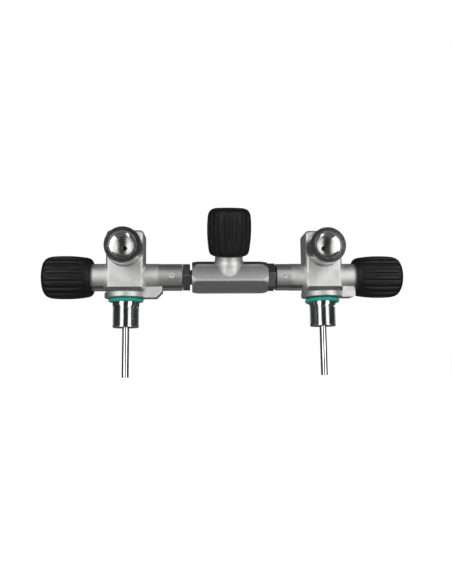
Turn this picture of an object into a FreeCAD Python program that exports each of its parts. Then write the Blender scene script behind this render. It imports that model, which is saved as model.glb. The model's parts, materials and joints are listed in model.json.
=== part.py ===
# Scuba isolation manifold: two cylinder valves joined by a bar with a shut-off valve in its middle.
# Frame: origin midway between the two valves on the bar's axis, +X right, +Y away from the outlets, +Z up.
import FreeCAD, Part
import Sketcher
import math
import os

os.makedirs("parts", exist_ok=True)
doc = FreeCAD.newDocument("isolation_manifold")
sheet = doc.addObject("Spreadsheet::Sheet", "sizes")
Vector = FreeCAD.Vector
Rotation = FreeCAD.Rotation

# Driving dimensions in millimetres and degrees: alias, value, meaning.
DIMENSIONS = [
    ("post_spacing", 186.0, "between the two cylinder axes"),
    ("barrel_radius", 12.9, "cast barrel that holds a post's valve"),
    ("barrel_face", 32.0, "post axis to the barrel's outer face"),
    ("cast_reach", 30.8, "post axis to the end of the casting on the bar side"),
    ("arm_radius", 12.7, "turned arm towards the bar"),
    ("tower_width", 35.0, "cast block behind the outlet, across"),
    ("tower_depth", 26.4, "cast block, front to back"),
    ("tower_top", 43.2, "bar axis to the block's top"),
    ("tower_foot", 15.4, "bar axis down to the block's underside"),
    ("tower_corner", 4.3, "rounding of the block's top corners"),
    ("tower_edge", 3.6, "rounding round the block's front and back"),
    ("tower_draft", 5.2, "slope under the block's front and back"),
    ("barrel_fillet", 2.6, "fillet where barrel and block meet"),
    ("outlet_fillet", 1.5, "fillet where outlet and block meet"),
    ("outlet_height", 25.4, "bar axis up to the outlet's axis"),
    ("outlet_radius", 16.5, "outside of the regulator outlet"),
    ("outlet_reach", 31.0, "post axis forward to the outlet's face"),
    ("outlet_edge", 0.7, "broken outer edge of the outlet"),
    ("outlet_bore", 11.455, "major radius of the G5/8 regulator thread"),
    ("outlet_bore_depth", 17.5, "depth of the threaded bore"),
    ("outlet_mouth", 1.3, "chamfer at the bore's mouth"),
    ("port_radius", 2.2, "gas ways drilled across to a seat or an outlet"),
    ("flange_radius", 19.75, "flange that closes on the cylinder"),
    ("flange_thickness", 5.2, "flange"),
    ("flange_drop", 19.8, "bar axis down to the flange's underside"),
    ("flange_edge", 0.6, "broken rim of the flange"),
    ("neck_radius", 12.5, "major radius of the M25 x 2 cylinder thread"),
    ("neck_length", 27.6, "flange underside to the thread's end"),
    ("neck_relief", 6.7, "plain neck above the thread, where the O-ring sits"),
    ("neck_relief_radius", 12.3, "plain neck"),
    ("neck_chamfer", 1.2, "chamfer at the thread's end"),
    ("lug_width", 17.0, "stop lug beside the flange, front to back"),
    ("left_lug_reach", 34.0, "post axis to the left lug's tip"),
    ("right_lug_reach", 30.2, "post axis to the right lug's tip"),
    ("left_lug_chamfer", 5.6, "slope under the left lug's tip"),
    ("right_lug_chamfer", 1.6, "slope under the right lug's tip"),
    ("passage_radius", 2.5, "gas passages inside the posts and the bar"),
    ("dip_radius", 3.2, "dip tube outside"),
    ("dip_bore", 2.2, "dip tube inside"),
    ("dip_socket", 12.0, "dip tube's grip inside the neck"),
    ("dip_end", 93.0, "bar axis down to the dip tube's end"),
    ("neck_ring_section", 3.6, "cylinder O-ring, thickness of its section"),
    ("neck_ring_play", 0.2, "cylinder O-ring inside over the thread"),
    ("slack_ring_drop", 1.35, "right O-ring's centre below its seated height"),
    ("slack_ring_pitch", 4.3, "right O-ring, front lifted, degrees"),
    ("bar_offset", 4.4, "bar's middle from the midpoint of the posts"),
    ("bar_length", 71.2, "hexagonal bar"),
    ("bar_flats", 28.0, "hexagonal bar across its flats"),
    ("bar_tilt", 19.0, "bar turned forward from upright, degrees"),
    ("bar_end_chamfer", 5.5, "turned cone at the bar's ends, along the bar"),
    ("bar_end_cut", 2.0, "turned cone at the bar's ends, off the corner radius"),
    ("boss_offset", 0.9, "boss towards the left of the bar's middle"),
    ("boss_radius", 13.1, "valve boss on the bar"),
    ("boss_foot", 1.1, "flare at the boss's foot, on the radius"),
    ("boss_face", 22.5, "bar axis to the boss's outer face"),
    ("pinhole_radius", 0.6, "drilled mark on the boss"),
    ("bar_bore_depth", 16.0, "threaded bore in each end of the bar"),
    ("tube_radius", 7.6, "crossover tube outside"),
    ("tube_bore", 3.0, "crossover tube inside"),
    ("tube_grip", 21.0, "crossover tube's length inside an arm"),
    ("arm_bore_spare", 2.0, "arm bore past the crossover tube"),
    ("tube_ring_section", 2.0, "crossover O-ring section"),
    ("tube_ring_pitch", 4.0, "between the crossover O-rings"),
    ("tube_ring_margin", 2.6, "tube's end to its first O-ring"),
    ("lock_nut_flats", 23.5, "lock nut across its flats"),
    ("lock_nut_thickness", 6.7, "lock nut"),
    ("lock_nut_lift", 1.9, "left lock nut's distance from the bar"),
    ("lock_nut_gap", 0.3, "right lock nut's distance from the bar"),
    ("left_nut_clear", 0.5, "left lock nut's distance from its arm"),
    ("right_nut_clear", 1.4, "right lock nut's distance from its arm"),
    ("right_nut_turn", 11.0, "right lock nut's corner off the front, degrees"),
    ("screw_radius", 2.5, "lock screw in an arm"),
    ("screw_inset_left", 9.6, "left arm's end to its lock screw"),
    ("screw_inset_right", 6.8, "right arm's end to its lock screw"),
    ("screw_sink", 0.4, "lock screw below the arm's surface"),
    ("screw_key", 1.25, "lock screw's hexagon socket, half across its flats"),
    ("screw_groove", 1.2, "depth of the crossover tube's groove for the screw"),
    ("running_fit", 0.06, "clearance of shafts that turn or slide"),
    ("end_gap", 0.3, "clearance between faces that pass each other"),
    ("bonnet_bore", 9.0, "threaded bore that a bonnet screws into"),
    ("bonnet_bore_depth", 11.5, "bonnet bore"),
    ("bonnet_flats", 19.0, "bonnet head across its flats"),
    ("bonnet_head", 4.6, "bonnet head thickness"),
    ("bonnet_wall", 2.2, "wall round the bonnet's chamber"),
    ("bonnet_chamber", 4.6, "depth of the chamber for the spindle's collar"),
    ("bonnet_ring_section", 1.9, "O-ring under the bonnet's head"),
    ("spindle_radius", 4.0, "spindle"),
    ("spindle_ring_section", 1.7, "spindle O-rings"),
    ("spindle_ring_pitch", 3.2, "between the spindle O-rings"),
    ("collar_radius", 6.0, "spindle collar"),
    ("collar_thickness", 2.0, "spindle collar"),
    ("washer_thickness", 0.8, "thrust washer"),
    ("tang_width", 7.6, "driving tongue under the collar, across"),
    ("tang_thickness", 2.4, "driving tongue"),
    ("tang_play", 0.1, "tongue in the seat carrier's slot, each side"),
    ("carrier_radius", 6.2, "threaded bore that the seat carrier climbs in"),
    ("carrier_web", 0.5, "seat carrier between its pad and its slot"),
    ("carrier_travel", 2.4, "seat carrier's travel from shut to open"),
    ("seat_depth", 18.8, "barrel or boss face to the valve seat"),
    ("pad_radius", 4.3, "seat pad"),
    ("pad_thickness", 1.4, "seat pad"),
    ("pad_proud", 0.4, "seat pad past the carrier's end"),
    ("post_knob_length", 44.3, "handwheel of a post"),
    ("isolator_knob_length", 43.6, "handwheel of the bar"),
    ("isolator_knob_extra", 0.45, "bar's handwheel over a post's, on the radius"),
    ("knob_lap", 1.1, "handwheel's skirt over the barrel"),
    ("knob_rim_radius", 18.7, "handwheel near its inner end"),
    ("knob_shoulder_radius", 19.6, "handwheel near its outer end"),
    ("knob_rim_round", 4.6, "rounding at the inner end, along the axis"),
    ("knob_rim_edge", 15.4, "inner end's flat radius"),
    ("knob_end_round", 5.4, "rounding at the outer end, along the axis"),
    ("knob_end_edge", 13.6, "outer end's flat radius"),
    ("knob_rim_break", 1.3, "middle of the inner rounding, from the rim's corner both ways"),
    ("knob_end_break", 1.7, "middle of the outer rounding, from the end's corner both ways"),
    ("knob_crest_radius", 20.25, "handwheel at its widest"),
    ("knob_crest", 20.0, "inner end to the widest stretch"),
    ("knob_crest_run", 9.0, "widest stretch, along the axis"),
    ("skirt_play", 0.7, "handwheel's skirt to the barrel, on the radius"),
    ("flute_count", 20, "flutes round a handwheel"),
    ("flute_section", 1.9, "radius of a flute's section"),
    ("flute_bed", 19.05, "axis to a flute's bed"),
    ("core_radius", 11.4, "plastic core inside a handwheel"),
    ("core_floor", 21.0, "core's grip on the spindle's square"),
    ("square_width", 5.6, "spindle's driving square"),
    ("square_play", 0.05, "square in the core, each side"),
    ("pocket_radius", 7.4, "core's pocket for spring and nut"),
    ("spring_height", 6.4, "pressed height of the handwheel's spring"),
    ("spring_wire", 1.2, "spring wire thickness"),
    ("spring_radius", 5.2, "spring coil's middle radius"),
    ("stud_radius", 2.5, "spindle's threaded end"),
    ("knob_nut_flats", 8.0, "nut on the spindle's end"),
    ("knob_nut_height", 4.0, "nut on the spindle's end"),
    ("stud_proud", 1.0, "stud past its nut"),
]


class Size:
    """A dimension with its present value and the expression that binds to it."""

    def __init__(self, text, value):
        self.text = text
        self.value = value

    def join(self, other, sign, value):
        other_text = other.text if isinstance(other, Size) else repr(other)
        return Size("(%s %s %s)" % (self.text, sign, other_text), value)

    def __add__(self, other):
        return self.join(other, "+", self.value + number(other))

    __radd__ = __add__

    def __sub__(self, other):
        return self.join(other, "-", self.value - number(other))

    def __mul__(self, other):
        return self.join(other, "*", self.value * number(other))

    def __truediv__(self, other):
        return self.join(other, "/", self.value / number(other))

    def __neg__(self):
        return self * -1


def number(size):
    return size.value if isinstance(size, Size) else size


class Dims:
    """The spreadsheet's sizes by alias."""


dim = Dims()
for row, (alias, value, meaning) in enumerate(DIMENSIONS, start=1):
    sheet.set("A%d" % row, alias)
    sheet.set("B%d" % row, str(value))
    sheet.set("C%d" % row, meaning)
    sheet.setAlias("B%d" % row, alias)
    setattr(dim, alias, Size("sizes." + alias, value))
doc.recompute()

# A hexagon's corner radius is its width across the flats over this.
FLATS_TO_CORNER = math.sqrt(3)
# A hexagon's turn, in degrees, from a corner in front to a flat in front.
CORNER_TO_FLAT = 30
# Sides of an O-ring's section, fewer where a housing hides the ring.
NECK_RING_SIDES = 8
INNER_RING_SIDES = 4
# Coils of a handwheel's spring.
SPRING_TURNS = 2.5
# Slack in telling an edge by its place.
SLIGHT = 0.1
# Height of the boss's flared foot.
BOSS_FLARE = 4.5
# How far a cutter or a foot reaches past a face, so that no thin skin is left.
PAST = 1.0

ALONG = {
    "z": Rotation(),
    "-z": Rotation(Vector(1, 0, 0), 180),
    "x": Rotation(Vector(0, 1, 0), 90),
    "-x": Rotation(Vector(0, 1, 0), -90),
    "y": Rotation(Vector(1, 0, 0), -90),
    "-y": Rotation(Vector(1, 0, 0), 90),
}


def bind(thing, name, size):
    """Bind one property to a size, or set it where the size is a plain number."""
    if isinstance(size, Size):
        thing.setExpression(name, size.text)
        return
    thing.setExpression(name, repr(float(size)))


def place(thing, at=(0, 0, 0), along="z"):
    thing.Placement = FreeCAD.Placement(Vector(*[number(a) for a in at]), ALONG[along])
    for axis, size in zip("xyz", at):
        bind(thing, "Placement.Base." + axis, size)
    return thing


def cylinder(radius, length, at=(0, 0, 0), along="z"):
    thing = doc.addObject("Part::Cylinder", "cylinder")
    bind(thing, "Radius", radius)
    bind(thing, "Height", length)
    return place(thing, at, along)


def cone(radius, end_radius, length, at=(0, 0, 0), along="z"):
    thing = doc.addObject("Part::Cone", "cone")
    bind(thing, "Radius1", radius)
    bind(thing, "Radius2", end_radius)
    bind(thing, "Height", length)
    return place(thing, at, along)


def hexagon(flats, length, at=(0, 0, 0), along="z"):
    thing = doc.addObject("Part::Prism", "hexagon")
    thing.Polygon = 6
    bind(thing, "Circumradius", flats / FLATS_TO_CORNER)
    bind(thing, "Height", length)
    return place(thing, at, along)


def block(size_x, size_y, size_z, middle):
    """A box centred on middle in X and Y, standing on middle in Z."""
    thing = doc.addObject("Part::Box", "block")
    bind(thing, "Length", size_x)
    bind(thing, "Width", size_y)
    bind(thing, "Height", size_z)
    x, y, z = middle
    return place(thing, (x + size_x * -0.5, y + size_y * -0.5, z))


def ring(middle_radius, section_radius, height, sides):
    """An O-ring about Z. Its section is a polygon round the real one, flat where the ring is pressed."""
    section = doc.addObject("Part::RegularPolygon", "section")
    section.Polygon = sides
    bind(section, "Circumradius", section_radius / math.cos(math.pi / sides))
    section.Placement.Rotation = Rotation(Vector(1, 0, 0), 90) * Rotation(Vector(0, 0, 1), 180 / sides)
    bind(section, "Placement.Base.x", middle_radius)
    thing = doc.addObject("Part::Revolution", "ring")
    thing.Source = section
    thing.Axis = Vector(0, 0, 1)
    thing.Angle = 360
    thing.Solid = True
    return place(thing, (0, 0, height))


def fuse(*things):
    joined = doc.addObject("Part::MultiFuse", "fuse")
    joined.Shapes = list(things)
    joined.Refine = True
    return joined


def cut(base, *tools):
    result = doc.addObject("Part::Cut", "cut")
    result.Base = base
    result.Tool = tools[0] if len(tools) == 1 else fuse(*tools)
    return result


def group(*things):
    together = doc.addObject("Part::Compound", "group")
    together.Links = list(things)
    return together


def rounded(base, radius, chosen, kind="Part::Fillet"):
    """Fillet or chamfer the edges of base that chosen(edge) picks."""
    doc.recompute()
    result = doc.addObject(kind, "rounded")
    result.Base = base
    edges = enumerate(base.Shape.Edges, start=1)
    result.Edges = [(index, number(radius), number(radius)) for index, edge in edges if chosen(edge)]
    return result


def turned(name, outline):
    """A PartDesign body turned about its Z axis. outline lists its (radius, height) corners."""
    body = doc.addObject("PartDesign::Body", name)
    sketch = body.newObject("Sketcher::SketchObject", name + "_profile")
    planes = [plane for plane in body.Origin.OriginFeatures if plane.Role == "XZ_Plane"]
    sketch.AttachmentSupport = [(planes[0], "")]
    sketch.MapMode = "FlatFace"
    corners = [Vector(number(corner[0]), number(corner[1]), 0) for corner in outline]
    for index, corner in enumerate(outline):
        start, end = corners[index], corners[(index + 1) % len(corners)]
        sketch.addGeometry(Part.LineSegment(start, end))
    for index, corner in enumerate(outline):
        following = (index + 1) % len(outline)
        sketch.addConstraint(Sketcher.Constraint("Coincident", index, 2, following, 1))
        pin_corner(sketch, index, "DistanceX", corner[0], -2)
        pin_corner(sketch, index, "DistanceY", corner[1], -1)
    turn = body.newObject("PartDesign::Revolution", name + "_turn")
    turn.Profile = sketch
    turn.ReferenceAxis = (sketch, ["V_Axis"])
    turn.Angle = 360
    body.Tip = turn
    return body


def pin_corner(sketch, index, kind, size, axis):
    """Fix one coordinate of a sketch corner, or lay the corner on an axis where it is nought."""
    if number(size) == 0:
        sketch.addConstraint(Sketcher.Constraint("PointOnObject", index, 1, axis))
        return
    place_number = sketch.addConstraint(Sketcher.Constraint(kind, -1, 1, index, 1, number(size)))
    bind(sketch, "Constraints[%d]" % place_number, size)


def slope(rise, run):
    """The angle whose tangent is rise over run, in degrees."""
    return Size("atan(%s / %s)" % (rise.text, run.text), math.degrees(math.atan(rise.value / run.value)))


def spun(thing, angle):
    """Turn a primitive that stands along Z about its own axis."""
    thing.Placement.Rotation = Rotation(Vector(0, 0, 1), number(angle))
    bind(thing, "Placement.Rotation.Angle", angle)
    return thing


class Station:
    """Where a valve sits: its axis leaves the passage's middle and its local Z runs outwards."""

    def __init__(self, base, axis, angle):
        self.base = base
        self.axis = axis
        self.angle = angle

    def take_valve(self, face, neck, knob_length, knob_extra):
        """State the barrel or boss that holds the valve, and the handwheel on it."""
        self.face = face
        self.neck = neck
        self.knob_extra = knob_extra
        self.rim = face - dim.knob_lap
        self.knob_end = self.rim + knob_length
        self.core_top = self.knob_end - dim.knob_end_round

    def carry(self, label, thing):
        rotation = Rotation(self.axis, number(self.angle))
        thing.Placement = FreeCAD.Placement(Vector(*[number(a) for a in self.base]), rotation)
        for axis, size in zip("xyz", self.base):
            bind(thing, "Placement.Base." + axis, size)
        if isinstance(self.angle, Size):
            bind(thing, "Placement.Rotation.Angle", self.angle)
        name_node(label, thing)


nodes = []


def name_node(label, thing):
    thing.Label = label
    nodes.append(thing)


# Places along a valve's axis, counted outwards from its face. The posts and the bar share them.
bonnet_foot = dim.end_gap - dim.bonnet_bore_depth
chamber_roof = bonnet_foot + dim.bonnet_chamber
collar_top = chamber_roof - dim.washer_thickness - dim.tang_play
collar_foot = collar_top - dim.collar_thickness
pad_face = dim.tang_play - dim.seat_depth
carrier_foot = pad_face + dim.pad_proud
carrier_top = collar_foot - dim.carrier_travel - dim.end_gap
slot_floor = pad_face + dim.pad_thickness + dim.carrier_web
tang_tip = slot_floor + dim.carrier_travel + dim.end_gap
spindle_shoulder = dim.bonnet_head + dim.end_gap
pocket_foot = spindle_shoulder + dim.core_floor
nut_foot = pocket_foot + dim.spring_height
nut_top = nut_foot + dim.knob_nut_height

bonnet_ring_height = dim.bonnet_ring_section * -0.5 - dim.tang_play
spindle_ring_heights = [dim.spindle_ring_pitch * -0.5, dim.spindle_ring_pitch * -1.5]
spindle_bore = dim.spindle_radius + dim.running_fit
spindle_ring_outside = dim.spindle_radius + dim.running_fit * 0.5
carrier_outside = dim.carrier_radius - dim.running_fit


def valve_bores(face, reach):
    """Cutters for the bores that hold a valve, along Z, down to its seat and on to the passage."""
    seat = face - dim.seat_depth
    return [
        cylinder(dim.bonnet_bore, dim.bonnet_bore_depth + PAST, (0, 0, face - dim.bonnet_bore_depth)),
        cylinder(dim.carrier_radius, dim.seat_depth - dim.end_gap, (0, 0, seat)),
        cylinder(dim.passage_radius, reach + seat, (0, 0, -reach)),
    ]


def bonnet(station):
    face = station.face
    groove = dim.bonnet_bore - dim.bonnet_ring_section
    groove_foot = face - dim.bonnet_ring_section - dim.tang_play * 2
    chamber = dim.bonnet_bore - dim.bonnet_wall
    shank = turned("bonnet_shank", [
        (chamber, face + bonnet_foot),
        (dim.bonnet_bore, face + bonnet_foot),
        (dim.bonnet_bore, groove_foot),
        (groove, groove_foot),
        (groove, face + dim.bonnet_head * 0.5),
        (spindle_bore, face + dim.bonnet_head * 0.5),
        (spindle_bore, face + chamber_roof),
        (chamber, face + chamber_roof),
    ])
    head = hexagon(dim.bonnet_flats, dim.bonnet_head, (0, 0, face))
    hole = cylinder(spindle_bore, dim.bonnet_head + PAST * 2, (0, 0, face - PAST))
    return fuse(shank, cut(head, hole))


def bonnet_ring(station):
    section = dim.bonnet_ring_section * 0.5
    height = station.face + bonnet_ring_height
    return group(ring(dim.bonnet_bore - section, section, height, INNER_RING_SIDES))


def spindle(station):
    face = station.face
    outline = [
        (Size("0", 0), face + collar_foot),
        (dim.collar_radius, face + collar_foot),
        (dim.collar_radius, face + collar_top),
        (dim.spindle_radius, face + collar_top),
    ]
    floor = spindle_ring_outside - dim.spindle_ring_section
    half_groove = dim.spindle_ring_section * 0.5 + dim.tang_play
    for height in reversed(spindle_ring_heights):
        outline.append((dim.spindle_radius, face + height - half_groove))
        outline.append((floor, face + height - half_groove))
        outline.append((floor, face + height + half_groove))
        outline.append((dim.spindle_radius, face + height + half_groove))
    outline.append((dim.spindle_radius, face + spindle_shoulder))
    outline.append((dim.stud_radius, face + spindle_shoulder))
    outline.append((dim.stud_radius, face + nut_top + dim.stud_proud))
    outline.append((Size("0", 0), face + nut_top + dim.stud_proud))
    tang = block(dim.tang_width, dim.tang_thickness, collar_foot - tang_tip, (0, 0, face + tang_tip))
    square = block(dim.square_width, dim.square_width, dim.core_floor, (0, 0, face + spindle_shoulder))
    return fuse(turned("spindle_shaft", outline), tang, square)


def spindle_rings(station):
    section = dim.spindle_ring_section * 0.5
    middle = spindle_ring_outside - section
    heights = [station.face + height for height in spindle_ring_heights]
    return group(*[ring(middle, section, height, INNER_RING_SIDES) for height in heights])


def thrust_washer(station):
    roof = station.face + chamber_roof
    outside = dim.bonnet_bore - dim.bonnet_wall
    disc = cylinder(outside, dim.washer_thickness, (0, 0, roof - dim.washer_thickness))
    hole_foot = roof - dim.washer_thickness - PAST
    return cut(disc, cylinder(spindle_bore, dim.washer_thickness + PAST * 2, (0, 0, hole_foot)))


def seat_carrier(station):
    face = station.face
    slot_width = dim.tang_thickness + dim.tang_play * 2
    plug = cylinder(carrier_outside, carrier_top - carrier_foot, (0, 0, face + carrier_foot))
    slot = block(carrier_outside * 2 + PAST * 2, slot_width, carrier_top - slot_floor + PAST,
                 (0, 0, face + slot_floor))
    pocket = cylinder(dim.pad_radius, dim.pad_thickness - dim.pad_proud + PAST,
                      (0, 0, face + carrier_foot - PAST))
    return cut(plug, slot, pocket)


def seat_pad(station):
    return group(cylinder(dim.pad_radius, dim.pad_thickness, (0, 0, station.face + pad_face)))


def knob_grip(station):
    """Rubber grip: a barrel shape with straight flutes that run out at both ends."""
    skirt = station.neck + dim.skirt_play
    skirt_roof = station.face + spindle_shoulder
    extra = station.knob_extra
    body = turned("grip", [
        (skirt, station.rim),
        (dim.knob_rim_edge + extra, station.rim),
        (dim.knob_rim_radius + extra - dim.knob_rim_break, station.rim + dim.knob_rim_break),
        (dim.knob_rim_radius + extra, station.rim + dim.knob_rim_round),
        (dim.knob_crest_radius + extra, station.rim + dim.knob_crest),
        (dim.knob_crest_radius + extra, station.rim + dim.knob_crest + dim.knob_crest_run),
        (dim.knob_shoulder_radius + extra, station.core_top),
        (dim.knob_shoulder_radius + extra - dim.knob_end_break, station.knob_end - dim.knob_end_break),
        (dim.knob_end_edge + extra, station.knob_end),
        (dim.pocket_radius, station.knob_end),
        (dim.pocket_radius, station.core_top),
        (dim.core_radius, station.core_top),
        (dim.core_radius, skirt_roof),
        (skirt, skirt_roof),
    ])
    section = body.newObject("Sketcher::SketchObject", "flute_section")
    planes = [plane for plane in body.Origin.OriginFeatures if plane.Role == "XY_Plane"]
    section.AttachmentSupport = [(planes[0], "")]
    section.MapMode = "FlatFace"
    middle = dim.flute_bed + extra + dim.flute_section
    section.addGeometry(Part.Circle(Vector(middle.value, 0, 0), Vector(0, 0, 1), dim.flute_section.value))
    section.addConstraint(Sketcher.Constraint("PointOnObject", 0, 3, -1))
    radius = section.addConstraint(Sketcher.Constraint("Radius", 0, dim.flute_section.value))
    bind(section, "Constraints[%d]" % radius, dim.flute_section)
    reach = section.addConstraint(Sketcher.Constraint("DistanceX", -1, 1, 0, 3, middle.value))
    bind(section, "Constraints[%d]" % reach, middle)
    doc.recompute()
    flute = body.newObject("PartDesign::Pocket", "flute")
    flute.Profile = section
    flute.Type = 1
    flute.Midplane = True
    doc.recompute()
    flutes = body.newObject("PartDesign::PolarPattern", "flutes")
    flutes.Originals = [flute]
    axes = [axis for axis in body.Origin.OriginFeatures if axis.Role == "Z_Axis"]
    flutes.Axis = (axes[0], [""])
    flutes.Angle = 360
    bind(flutes, "Occurrences", dim.flute_count)
    body.Tip = flutes
    return body


def knob_core(station):
    foot = station.face + spindle_shoulder
    pocket = station.face + pocket_foot
    hole = dim.square_width + dim.square_play * 2
    return cut(
        cylinder(dim.core_radius, station.core_top - foot, (0, 0, foot)),
        block(hole, hole, dim.core_floor + PAST * 2, (0, 0, foot - PAST)),
        cylinder(dim.pocket_radius, station.core_top - pocket + PAST, (0, 0, pocket)),
    )


def knob_spring(station):
    wire = dim.spring_wire * 0.5
    turns = dim.spring_height - dim.spring_wire
    coil = doc.addObject("Part::Helix", "coil")
    bind(coil, "Radius", dim.spring_radius)
    bind(coil, "Height", turns)
    bind(coil, "Pitch", turns / SPRING_TURNS)
    section = doc.addObject("Part::RegularPolygon", "wire")
    section.Polygon = 4
    bind(section, "Circumradius", wire * math.sqrt(2))
    section.Placement.Rotation = ALONG["-y"] * Rotation(Vector(0, 0, 1), 45)
    bind(section, "Placement.Base.x", dim.spring_radius)
    sweep = doc.addObject("Part::Sweep", "sweep")
    sweep.Sections = [section]
    sweep.Spine = (coil, [])
    sweep.Solid = True
    sweep.Frenet = True
    bind(sweep, "Placement.Base.z", station.face + pocket_foot + wire)
    return group(sweep)


def knob_nut(station):
    foot = station.face + nut_foot
    hole = cylinder(dim.stud_radius, dim.knob_nut_height + PAST * 2, (0, 0, foot - PAST))
    return cut(hexagon(dim.knob_nut_flats, dim.knob_nut_height, (0, 0, foot)), hole)


VALVE_PIECES = [
    ("bonnet", bonnet),
    ("bonnet_o_ring", bonnet_ring),
    ("spindle", spindle),
    ("spindle_o_rings", spindle_rings),
    ("thrust_washer", thrust_washer),
    ("seat_carrier", seat_carrier),
    ("seat_pad", seat_pad),
    ("knob_grip", knob_grip),
    ("knob_core", knob_core),
    ("knob_spring", knob_spring),
    ("knob_nut", knob_nut),
]


def valve(name, station):
    """The working pieces of one valve, the same at all three stations."""
    for piece, make in VALVE_PIECES:
        station.carry(name + "_" + piece, make(station))


def post_body(side, arm_reach, lug_reach, lug_chamfer, screw_inset):
    """One cylinder valve's forging and its bores. side is 1 where its handwheel points along +X."""
    out, back = ("x", "-x") if side > 0 else ("-x", "x")
    foot = -dim.tower_foot
    tower = tower_block(foot)
    outlet = cylinder(dim.outlet_radius, dim.outlet_reach, (0, 0, dim.outlet_height), "-y")
    outlet = rounded(outlet, dim.outlet_edge, lambda edge: is_ring(edge) and edge.BoundBox.YMax < -PAST,
                     "Part::Chamfer")
    flange = cylinder(dim.flange_radius, dim.flange_thickness, (0, 0, -dim.flange_drop))
    flange = rounded(flange, dim.flange_edge, is_ring, "Part::Chamfer")
    thread_top = -dim.flange_drop - dim.neck_relief
    relief = cylinder(dim.neck_relief_radius, dim.neck_relief + PAST, (0, 0, -dim.flange_drop), "-z")
    neck = cylinder(dim.neck_radius, dim.neck_length - dim.neck_relief, (0, 0, thread_top), "-z")
    neck = rounded(neck, dim.neck_chamfer,
                   lambda edge: is_ring(edge) and edge.BoundBox.ZMax < thread_top.value - PAST,
                   "Part::Chamfer")
    lug = block(lug_reach, dim.lug_width, dim.flange_drop - dim.passage_radius,
                (lug_reach * 0.5, 0, -dim.flange_drop))
    lug = rounded(lug, lug_chamfer, lambda edge: is_lug_tip(edge, lug_reach), "Part::Chamfer")
    barrel = cylinder(dim.barrel_radius, dim.barrel_face, along=out)
    cast_arm = cylinder(dim.barrel_radius, dim.cast_reach, along=back)
    casting = rounded(fuse(barrel, cast_arm, tower), dim.barrel_fillet, joins_barrel_and_block)
    casting = rounded(fuse(casting, outlet), dim.outlet_fillet, joins_outlet_and_block)
    arm = cylinder(dim.arm_radius, arm_reach, along=back)
    return cut(fuse(casting, arm, flange, relief, neck, lug), *post_bores(side, arm_reach, screw_inset))


def joins_barrel_and_block(edge):
    """True on the seam round the barrel at each side of the block."""
    box = edge.BoundBox
    half = dim.tower_width.value / 2
    near_side = abs(abs(box.XMin) - half) < PAST and abs(abs(box.XMax) - half) < PAST
    return near_side and box.XLength < PAST and max(box.ZMax, -box.ZMin) < dim.barrel_radius.value + SLIGHT


def joins_outlet_and_block(edge):
    """True on the seam round the outlet at the block's front."""
    box = edge.BoundBox
    front = -dim.tower_depth.value / 2
    at_front = box.YMin > front - SLIGHT and box.YMax < front + PAST
    middle = Vector(0, box.Center.y, dim.outlet_height.value)
    spread = [(vertex.Point - middle).Length for vertex in edge.Vertexes]
    return at_front and all(abs(distance - dim.outlet_radius.value) < PAST / 2 for distance in spread)


def is_ring(edge):
    return len(edge.Vertexes) == 1 and isinstance(edge.Curve, Part.Circle)


def is_lug_tip(edge, reach):
    box = edge.BoundBox
    across = box.YLength > PAST
    return across and box.XMin > reach.value - PAST and box.ZMax < PAST - dim.flange_drop.value


def tower_block(foot):
    """The block behind the outlet: round top corners, soft edges, its underside drawn in."""
    height = dim.tower_top - foot
    box = block(dim.tower_width, dim.tower_depth, height, (0, 0, foot))
    box = rounded(box, dim.tower_draft, lambda edge: runs(edge, "x") and edge.BoundBox.ZMax < 0,
                  "Part::Chamfer")
    box = rounded(box, dim.tower_corner, lambda edge: runs(edge, "y") and edge.BoundBox.ZMin > 0)
    return rounded(box, dim.tower_edge, lambda edge: on_front_or_back(edge) and edge.BoundBox.ZMax > 0)


def runs(edge, axis):
    box = edge.BoundBox
    lengths = {"x": box.XLength, "y": box.YLength, "z": box.ZLength}
    return lengths[axis] > PAST and sum(lengths.values()) < lengths[axis] + PAST


def on_front_or_back(edge):
    box = edge.BoundBox
    return box.YLength < PAST and abs(abs(box.YMin) - dim.tower_depth.value / 2) < PAST


def post_bores(side, arm_reach, screw_inset):
    """Cutters for a post: valve, gas ways, outlet, dip tube, crossover tube and lock screw."""
    out, back = ("x", "-x") if side > 0 else ("-x", "x")
    turn = Rotation(Vector(0, 1, 0), 90 * side)
    valve_way = fuse(*valve_bores(dim.barrel_face, arm_reach - PAST))
    valve_way.Placement.Rotation = turn
    tube_depth = dim.tube_grip + dim.arm_bore_spare
    floor = dim.outlet_reach - dim.outlet_bore_depth
    mouth = dim.outlet_bore + dim.outlet_mouth
    chamber = dim.barrel_face - dim.seat_depth + dim.carrier_travel
    port = cylinder(dim.port_radius, dim.outlet_height, (chamber * side, 0, 0))
    lean = slope(chamber, dim.outlet_height)
    port.Placement.Rotation = Rotation(Vector(0, -side, 0), lean.value)
    bind(port, "Placement.Rotation.Angle", lean)
    screw_x = (screw_inset - arm_reach) * side
    return [
        valve_way,
        cylinder(dim.tube_radius + dim.running_fit, tube_depth + PAST,
                 ((tube_depth - arm_reach) * side, 0, 0), back),
        cylinder(dim.outlet_bore, dim.outlet_bore_depth + PAST, (0, -floor, dim.outlet_height), "-y"),
        cone(dim.outlet_bore, mouth, dim.outlet_mouth,
             (0, dim.outlet_mouth - dim.outlet_reach, dim.outlet_height), "-y"),
        cylinder(dim.port_radius, floor + dim.port_radius, (0, dim.port_radius, dim.outlet_height), "-y"),
        port,
        cylinder(dim.dip_bore, dim.flange_drop + dim.neck_length, along="-z"),
        cylinder(dim.dip_radius, dim.dip_socket + PAST,
                 (0, 0, dim.dip_socket - dim.flange_drop - dim.neck_length), "-z"),
        cylinder(dim.screw_radius, dim.arm_radius + PAST, (screw_x, 0, 0), "-y"),
    ]


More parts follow.
